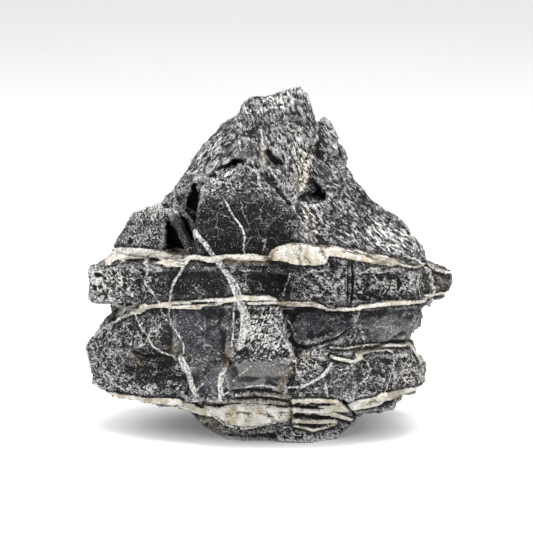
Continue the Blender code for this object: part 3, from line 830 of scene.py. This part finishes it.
# size, reach and seed of what bends the lines
WARP, WANDER = (16.0, 1.6, 21), (7.0, np.array([0.7, 0.6, 0.7]), 31)
BED_FLATNESS = np.array([1.0, 1.0, 1.7])
BED_TRIM, BED_STANDS, BED_CALM, GROOVE_DEPTH = 0.16, 0.5, 0.75, 0.7
VEIN_STANDS, CRACK_DEPTH = 0.32, 1.6
FRONT_BED_REACH, FRONT_BED_FADE = 20.0, 4.0
FOOT_HEIGHTS = 0.3, 2.5


def white_fields(places):
    """Depth inside the white beds and inside the veins, with both edges wandering a little."""
    size, reach, seed = WANDER
    x, z, depth = (places[:, [0, 2, 1]] + reach * soft_noise(places, size, seed)).T
    bed = inside(through_beds, x, z)
    front = inside(front_beds, x, z) - np.clip((places[:, 1] + FRONT_BED_REACH) / FRONT_BED_FADE, 0, None)
    vein = inside(veins, x, z)
    for side, lines in ((-1, LEFT_END_VEINS), (1, RIGHT_END_VEINS)):
        vein = np.maximum(vein, inside(lines, depth, z) - towards_middle(side * places[:, 0]))
    return np.maximum(bed, front) - BED_TRIM, vein


def towards_middle(out):
    """How far a place is in from where the stone's end starts, in millimetres, and 0 on the end itself."""
    return np.clip(END_STARTS - out, 0, None)


def crack_field(places):
    """Depth inside the open cracks of the front and of the two ends."""
    x, y, z = places.T
    return np.maximum(inside(cracks, x, z), inside(END_CRACKS, y, z) - towards_middle(np.abs(x)))


def step(value, low, high):
    """0 below low, 1 above high, and smooth between."""
    t = np.clip((value - low) / (high - low), 0, 1)
    return t * t * (3 - 2 * t)


def warped(places):
    size, reach, seed = WARP
    return places + reach * soft_noise(places, size, seed)


def layer(places, size, height, seed):
    return height * chipped(places, size, seed)


def relief(places):
    """Millimetres out along the surface's own direction."""
    bent = warped(places)
    rough = np.clip(1 + character(places)[:, 2], 0.2, 2)
    bed, vein = white_fields(places)
    rock = layer(bent * BED_FLATNESS, *FLAKES) + layer(bent * BED_FLATNESS, *CHIPS)
    rock += layer(bent, *GRAINS)
    rock += layer(streak_places(bent), *STREAKS)
    size, depth, seed = PITS
    rock -= depth * step(chipped(bent, size, seed), 0.72, 1.0) * np.clip(rough - 0.7, 0, 1)
    white = step(bed, -0.3, 0.5)
    lumps = layer(places, *BED_LUMPS) + layer(places, *BED_GRAINS)
    lumps += layer(places, *DEEP_BED_LUMPS) * step(bed, 1.0, 3.0)
    height = rock * rough * (1 - BED_CALM * white) + white * (BED_STANDS + lumps)
    height -= GROOVE_DEPTH * step(bed, -1.3, -0.7) * step(-bed, 0.1, 0.5)
    height += VEIN_STANDS * step(vein, -0.25, 0.3)
    height -= CRACK_DEPTH * step(crack_field(places), -0.5, 0.3)
    return height


def positions(mesh):
    flat = np.empty(len(mesh.vertices) * 3)
    mesh.vertices.foreach_get("co", flat)
    return flat.reshape(-1, 3) / MM


def directions(mesh):
    flat = np.empty(len(mesh.vertices) * 3)
    mesh.vertex_normals.foreach_get("vector", flat)
    return flat.reshape(-1, 3)


def break_surface(thing):
    places = positions(thing.data)
    height = relief(places)
    height *= step(places[:, 2], *FOOT_HEIGHTS)
    places += directions(thing.data) * height[:, None]
    thing.data.vertices.foreach_set("co", (places * MM).ravel())
    thing.data.update()
    print("relief from", round(height.min(), 2), "to", round(height.max(), 2), "mm")


break_surface(stone)

# %% [markdown]
# ## Fewer points where nothing happens
#
# The even skin spends as many triangles on a flat face as on a crack. Collapsing the edges that matter least
# brings it under the budget and leaves the sharp places fine.

# %% Thin out
MOST_TRIANGLES = 194_000


def thin_out(thing):
    triangles = sum(len(p.vertices) - 2 for p in thing.data.polygons)
    collapse = thing.modifiers.new("collapse", "DECIMATE")
    collapse.ratio = MOST_TRIANGLES / triangles
    collapse.use_collapse_triangulate = True
    baked(thing)
    thing.data.shade_smooth()


thin_out(stone)
print("stone:", len(stone.data.polygons), "triangles")

# %% [markdown]
# ## What the surface knows about itself
#
# The material needs the depth inside beds, veins, cracks and stains, with the painted shadow among the stains, the
# character of each face, the streak coordinate, and how hollow each spot is. The hollows get painted shade and the
# edges are worn pale, partly as a painted highlight, so the last one matters most. It is measured by smoothing a
# copy of the shape: where the smoothed surface lies outside, it was a hollow.

# %% Stored fields
HOLLOW_ROUNDS = {"hollow": 6, "deep_hollow": 40}


def smoothed(mesh, places, rounds):
    """Each place moved to the mean of its neighbours, several times over."""
    ends = np.empty(len(mesh.edges) * 2, dtype=int)
    mesh.edges.foreach_get("vertices", ends)
    a, b = ends.reshape(-1, 2).T
    count = np.bincount(ends, minlength=len(places))[:, None]
    current = places
    for _ in range(rounds):
        total = np.empty_like(current)
        for axis in range(3):
            total[:, axis] = np.bincount(a, current[b, axis], len(places))
            total[:, axis] += np.bincount(b, current[a, axis], len(places))
        current = total / count
    return current


def store(mesh, name, values):
    """Keeps one number or one vector for each point, under a name that the material can read."""
    kind, field = ("FLOAT", "value") if values.ndim == 1 else ("FLOAT_VECTOR", "vector")
    mesh.attributes.new(name, kind, "POINT").data.foreach_set(field, values.ravel().astype(np.float32))


def store_fields(thing):
    mesh = thing.data
    places, facing = positions(mesh), directions(mesh)
    bed, vein = white_fields(places)
    effects = character(places)
    fields = {
        "bed": bed, "vein": vein, "crack": crack_field(places),
        "stain_and_shadow": inside(stains_and_shadow, places[:, 0], places[:, 2]),
        "face": effects[:, :3], "warmth": effects[:, 3],
        "streak": streak_places(warped(places)),
    }
    for name, rounds in HOLLOW_ROUNDS.items():
        fields[name] = ((smoothed(mesh, places, rounds) - places) * facing).sum(axis=1)
        print(name, "from", round(fields[name].min(), 2), "to", round(fields[name].max(), 2), "mm")
    for name, values in fields.items():
        store(mesh, name, values)


store_fields(stone)

# %% [markdown]
# ## Effects that come back
#
# Several effects are used again and again at other sizes, so each is a node group: a ragged edge for a stored
# depth, pale grain, fine webs and hair cracks. They put out only masks. The shader itself stays in the material.

# %% Ragged edge


def ragged_edge():
    inputs = {"Places": 0, "Depth": 0, "Raggedness": 0.5, "Softness": 0.2}
    tree, given, out = new_group("ragged edge", inputs, ["Mask"])
    fine = noise(tree, given["Places"], 0.9, 3.0, 0.7)
    shift = swing(tree, fine, given["Raggedness"])
    edge = plus(tree, given["Depth"], times(tree, shift, 2.0))
    low = times(tree, given["Softness"], -1.0)
    tree.links.new(between(tree, edge, low, given["Softness"]), out["Mask"])
    return tree


# %% Pale grain


def pale_grain():
    """Angular specks. The amount, from 0 to 1, lets more of them show."""
    tree, given, out = new_group("pale grain", {"Places": 0, "Size": 1.0, "Amount": 0.5}, ["Mask"])
    scale = maths(tree, "DIVIDE", 1.0, given["Size"])
    grain = noise(tree, given["Places"], scale, 1.6, 0.6)
    start = minus(tree, 0.68, times(tree, given["Amount"], 0.22))
    full = plus(tree, start, 0.035)
    tree.links.new(between(tree, grain, start, full), out["Mask"])
    return tree


# %% Fine webs


def fine_webs():
    """Thin wandering lines, which fade in and out. The amount, from 0 to 1, lets more of them show."""
    tree, given, out = new_group("fine webs", {"Places": 0, "Size": 2.0, "Amount": 0.5}, ["Mask"])
    scale = maths(tree, "DIVIDE", 1.0, given["Size"])
    wave = noise(tree, given["Places"], scale, 2.5, 0.62, 0.4)
    off_line = maths(tree, "ABSOLUTE", minus(tree, wave, 0.5))
    lines = between(tree, off_line, 0.012, 0.034, 1.0, 0.0)
    elsewhere = vectors(tree, "ADD", given["Places"], (31.0, 17.0, 5.0))
    gate = noise(tree, elsewhere, times(tree, scale, 0.45), 3.0, 0.7)
    gate = plus(tree, gate, swing(tree, given["Amount"], 0.45))
    tree.links.new(times(tree, lines, between(tree, gate, 0.44, 0.6)), out["Mask"])
    return tree


# %% Hair cracks


def hair_cracks():
    tree, given, out = new_group("hair cracks", {"Places": 0, "Size": 4.0, "Width": 0.06}, ["Mask"])
    scale = maths(tree, "DIVIDE", 1.0, given["Size"])
    bend = add(tree, "TexNoise", {"Vector": given["Places"], "Scale": times(tree, scale, 1.6), "Detail": 3.0})
    pull = vectors(tree, "SUBTRACT", bend.outputs["Color"], (0.5, 0.5, 0.5))
    pull = vectors(tree, "SCALE", pull, times(tree, given["Size"], 1.1))
    bent = vectors(tree, "ADD", given["Places"], pull)
    cells = add(tree, "TexVoronoi", {"Vector": bent, "Scale": scale}, feature="DISTANCE_TO_EDGE").outputs[0]
    broken = noise(tree, given["Places"], times(tree, scale, 0.9), 2.0)
    width = times(tree, given["Width"], between(tree, broken, 0.38, 0.68, 0.0, 1.6))
    thin = maths(tree, "DIVIDE", cells, most(tree, width, 0.0005))
    tree.links.new(between(tree, thin, 0.4, 1.3, 1.0, 0.0), out["Mask"])
    return tree


RAGGED_EDGE, PALE_GRAIN, FINE_WEBS = ragged_edge(), pale_grain(), fine_webs()
HAIR_CRACKS = hair_cracks()
print("node groups:", [group.name for group in bpy.data.node_groups])

# %% [markdown]
# ## Limestone and calcite in one material
#
# Rock and calcite could be two materials on separate faces, but their border would then follow the triangles.
# One material that mixes the two by the stored depths keeps every border ragged and sharp.
# The dark rock comes first: its own grey, the pale grain and hair cracks in it, and then its pits, its edges worn
# pale and given a painted highlight, and painted shade in its hollows and beside the beds. Over it lie the veins
# and the beds, with dirt and painted shade in the beds' hollows, and last the stains, the painted shadow under the
# calcite chip, and the open cracks, filled with painted shade.

# %% Stone material
DEEP_GREY = (0.006, 0.006, 0.0075, 1)
BLUE_GREY = (0.044, 0.045, 0.053, 1)
WORN_GREY = (0.13, 0.127, 0.124, 1)
PALE_GRAIN_COLOUR = (0.62, 0.612, 0.597, 1)
WARM_GRAIN_COLOUR = (0.54, 0.488, 0.362, 1)
VEIN_WHITE = (0.57, 0.561, 0.540, 1)
VEIN_GREY = (0.14, 0.14, 0.14, 1)
BED_WHITE = (0.65, 0.638, 0.602, 1)
BED_CREAM = (0.40, 0.345, 0.245, 1)
# dirt on the calcite, and painted shade in its hollows
BED_DIRT_AND_SHADE = (0.085, 0.066, 0.047, 1)
# colours of the iron stains, also used for the painted shadow under the calcite chip
TAN_OF_STAINS_AND_SHADOW = (0.225, 0.175, 0.112, 1)
BROWN_OF_STAINS_AND_SHADOW = (0.044, 0.031, 0.023, 1)
# painted shade: near black, for the hollows, the rock beside the beds and the open cracks
PAINTED_SHADE = (0.010, 0.0093, 0.0093, 1)
LAYERS_PRESSED = (0.12, 0.12, 1.1)
ROCK_SPECULAR = 0.08
BUMP_MM = 0.6


def ragged_mask(tree, place, name, raggedness, softness):
    """The stored depth of that name, cut off with a ragged edge."""
    inputs = {"Places": place, "Depth": field(tree, name), "Raggedness": raggedness, "Softness": softness}
    return placed(tree, RAGGED_EDGE, inputs)["Mask"]


def rock_colour(tree, place, hollow, deep_hollow):
    """The dark limestone: its colour, how pale its grain is, and its streaks."""
    streak = field(tree, "streak", "Vector")
    lighter, grainier = add(tree, "SeparateXYZ", {0: field(tree, "face", "Vector")}).outputs[:2]
    warmth = field(tree, "warmth")

    # the rock's own grey, cloudy and streaked
    clouds = noise(tree, place, 0.055, 4.0, 0.6, 0.6)
    patchy = noise(tree, place, 0.21, 3.0, 0.6)
    lines = noise(tree, streak, 0.55, 1.5, 0.6)
    light = plus(tree, times(tree, lighter, 0.5), minus(tree, clouds, 0.45))
    light = plus(tree, light, swing(tree, patchy, 0.5))
    light = plus(tree, light, swing(tree, lines, 0.9))
    rock = blended(tree, between(tree, light, -0.4, 0.3), DEEP_GREY, BLUE_GREY)
    rock = blended(tree, between(tree, light, 0.15, 0.85, 0.0, 0.8), rock, WORN_GREY)

    # pale grain and webs, drawn out along the streaks, and next to none of them on the smooth faces
    grit = between(tree, grainier, -1.0, 0.1, 0.12, 1.0)
    varied = plus(tree, between(tree, patchy, 0.35, 0.65, -0.2, 0.25), swing(tree, lines, 1.5))
    amount = plus(tree, times(tree, grainier, 0.55), between(tree, clouds, 0.3, 0.7, 0.1, 0.5))
    amount = minus(tree, amount, times(tree, hollow, 0.3))
    streaky = plus(tree, amount, times(tree, varied, grit))
    fine = placed(tree, PALE_GRAIN, {"Places": streak, "Size": 0.75, "Amount": streaky})["Mask"]
    speckled = plus(tree, times(tree, amount, 0.4), 0.22)
    specks = placed(tree, PALE_GRAIN, {"Places": place, "Size": 0.55, "Amount": speckled})["Mask"]
    webbed = times(tree, streaky, grit)
    webs = placed(tree, FINE_WEBS, {"Places": streak, "Size": 1.4, "Amount": webbed})["Mask"]
    wide_webs = placed(tree, FINE_WEBS, {"Places": place, "Size": 4.2, "Amount": webbed})["Mask"]
    strength = between(tree, grainier, -0.5, 0.6, 0.45, 0.9)
    grain = most(tree, times(tree, fine, strength), times(tree, specks, 0.9))
    webs = most(tree, times(tree, webs, 0.55), times(tree, wide_webs, 0.3))
    grain = most(tree, grain, webs)

    # hair cracks that healed white
    width = between(tree, grainier, -0.6, 1.2, 0.015, 0.07)
    wide_hairs = placed(tree, HAIR_CRACKS, {"Places": place, "Size": 8.0, "Width": 0.018})["Mask"]
    close_hairs = placed(tree, HAIR_CRACKS, {"Places": place, "Size": 2.6, "Width": width})["Mask"]
    hairs = most(tree, times(tree, wide_hairs, 0.35), times(tree, close_hairs, times(tree, grit, 0.7)))
    pale = most(tree, grain, hairs)
    warm = plus(tree, warmth, swing(tree, patchy, 1.8))
    pale_colour = blended(tree, between(tree, warm, 0.1, 1.3), PALE_GRAIN_COLOUR, WARM_GRAIN_COLOUR)
    rock = blended(tree, between(tree, warm, 0.3, 1.5, 0.0, 0.3), rock, BROWN_OF_STAINS_AND_SHADOW)
    rock = blended(tree, pale, rock, pale_colour)

    # pits between the grains, painted shade in the hollows, and edges worn pale with a painted highlight
    pits = noise(tree, streak, 1.1, 0.8, 0.5)
    pitted = times(tree, between(tree, pits, 0.48, 0.43, 0.0, 0.96), grit)
    rock = blended(tree, pitted, rock, DEEP_GREY)
    # edge wear and a painted highlight: convex edges are made paler
    wear_and_highlight = times(tree, between(tree, hollow, -0.2, -0.6, 0.0, 0.25), grit)
    rock = blended(tree, wear_and_highlight, rock, pale_colour)
    # painted shade: small and large hollows are darkened
    rock = blended(tree, between(tree, hollow, 0.06, 0.40, 0.0, 0.8), rock, PAINTED_SHADE)
    rock = blended(tree, between(tree, deep_hollow, 0.6, 2.5, 0.0, 0.7), rock, PAINTED_SHADE)
    return rock, pale, lines, pits


def stone_material():
    material = bpy.data.materials.new("limestone_with_calcite")
    material.use_nodes = True
    tree = material.node_tree
    shader = tree.nodes["Principled BSDF"]
    place = add(tree, "TexCoord").outputs["Object"]
    place = vectors(tree, "SCALE", place, 1 / MM)
    hollow, deep_hollow = field(tree, "hollow"), field(tree, "deep_hollow")
    rock, pale, lines, pits = rock_colour(tree, place, hollow, deep_hollow)
    mottle = noise(tree, place, 0.8, 3.0, 0.7)

    # painted shade: the rock is darker next to a bed, as if shaded by the bed's ledge
    beside = between(tree, field(tree, "bed"), -3.2, -0.6, 0.0, 0.6)
    rock = blended(tree, beside, rock, PAINTED_SHADE)

    # veins
    vein = ragged_mask(tree, place, "vein", 0.8, 0.15)
    vein_colour = blended(tree, between(tree, mottle, 0.40, 0.55), VEIN_GREY, VEIN_WHITE)
    colour = blended(tree, vein, rock, vein_colour)

    # white beds, cream and dirty in places, with painted shade in their hollows
    bed = ragged_mask(tree, place, "bed", 0.8, 0.2)
    cream = noise(tree, place, 0.16, 4.0, 0.7)
    crystals = add(tree, "TexVoronoi", {"Vector": place, "Scale": 0.45}).outputs["Color"]
    crystal = add(tree, "SeparateXYZ", {0: crystals}).outputs[0]
    bed_colour = blended(tree, between(tree, cream, 0.43, 0.64), BED_WHITE, BED_CREAM)
    bed_colour = blended(tree, between(tree, crystal, 0.5, 1.0, 0.0, 0.35), bed_colour, BED_CREAM)
    level = vectors(tree, "MULTIPLY", place, LAYERS_PRESSED)
    layers = noise(tree, level, 1.0, 3.0, 0.6, 0.3)
    cleavage = placed(tree, HAIR_CRACKS, {"Places": place, "Size": 6.0, "Width": 0.03})["Mask"]
    # dirt from mottle and layers, plus painted shade where the calcite lies in a hollow
    dirt_and_shade = plus(tree, hollow, swing(tree, mottle, 0.8))
    dirt_and_shade = plus(tree, dirt_and_shade, between(tree, layers, 0.44, 0.30, 0.0, 0.45))
    bed_colour = blended(tree, between(tree, dirt_and_shade, 0.28, 0.72, 0.0, 0.85), bed_colour, BED_DIRT_AND_SHADE)
    bed_colour = blended(tree, times(tree, cleavage, 0.45), bed_colour, BED_DIRT_AND_SHADE)
    colour = blended(tree, bed, colour, bed_colour)

    # iron stains, the painted shadow under the calcite chip, and painted shade in the open cracks, over everything
    stain_and_shadow = ragged_mask(tree, place, "stain_and_shadow", 2.2, 1.0)
    stain_and_shadow_colour = blended(tree, between(tree, mottle, 0.42, 0.58), BROWN_OF_STAINS_AND_SHADOW, TAN_OF_STAINS_AND_SHADOW)
    colour = blended(tree, times(tree, stain_and_shadow, 0.6), colour, stain_and_shadow_colour)
    # painted shade: the open cracks are darkened to near black
    crack = ragged_mask(tree, place, "crack", 0.5, 0.3)
    colour = blended(tree, times(tree, crack, 0.9), colour, PAINTED_SHADE)
    tree.links.new(colour, shader.inputs["Base Color"])

    # roughness and the finest relief
    shine = between(tree, noise(tree, place, 0.5, 3.0), 0.3, 0.7, 0.55, 0.82)
    tree.links.new(blended_value(tree, bed, shine, 0.5), shader.inputs["Roughness"])
    shader.inputs["Specular IOR Level"].default_value = ROCK_SPECULAR
    facets = add(tree, "TexVoronoi", {"Vector": place, "Scale": 0.55, "Detail": 1.0}).outputs["Distance"]
    height = plus(tree, times(tree, pale, 0.35), times(tree, lines, 1.2))
    height = plus(tree, height, times(tree, pits, 3.0))
    height = minus(tree, height, times(tree, facets, 0.5))
    bump = add(tree, "Bump", {"Strength": 0.9, "Distance": BUMP_MM * MM, "Height": height})
    tree.links.new(bump.outputs["Normal"], shader.inputs["Normal"])
    return material


stone.data.materials.append(stone_material())
print("material nodes:", len(stone.data.materials[0].node_tree.nodes))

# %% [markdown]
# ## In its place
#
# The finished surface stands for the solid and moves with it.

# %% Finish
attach(stone, "root")
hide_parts("seiryu_stone")
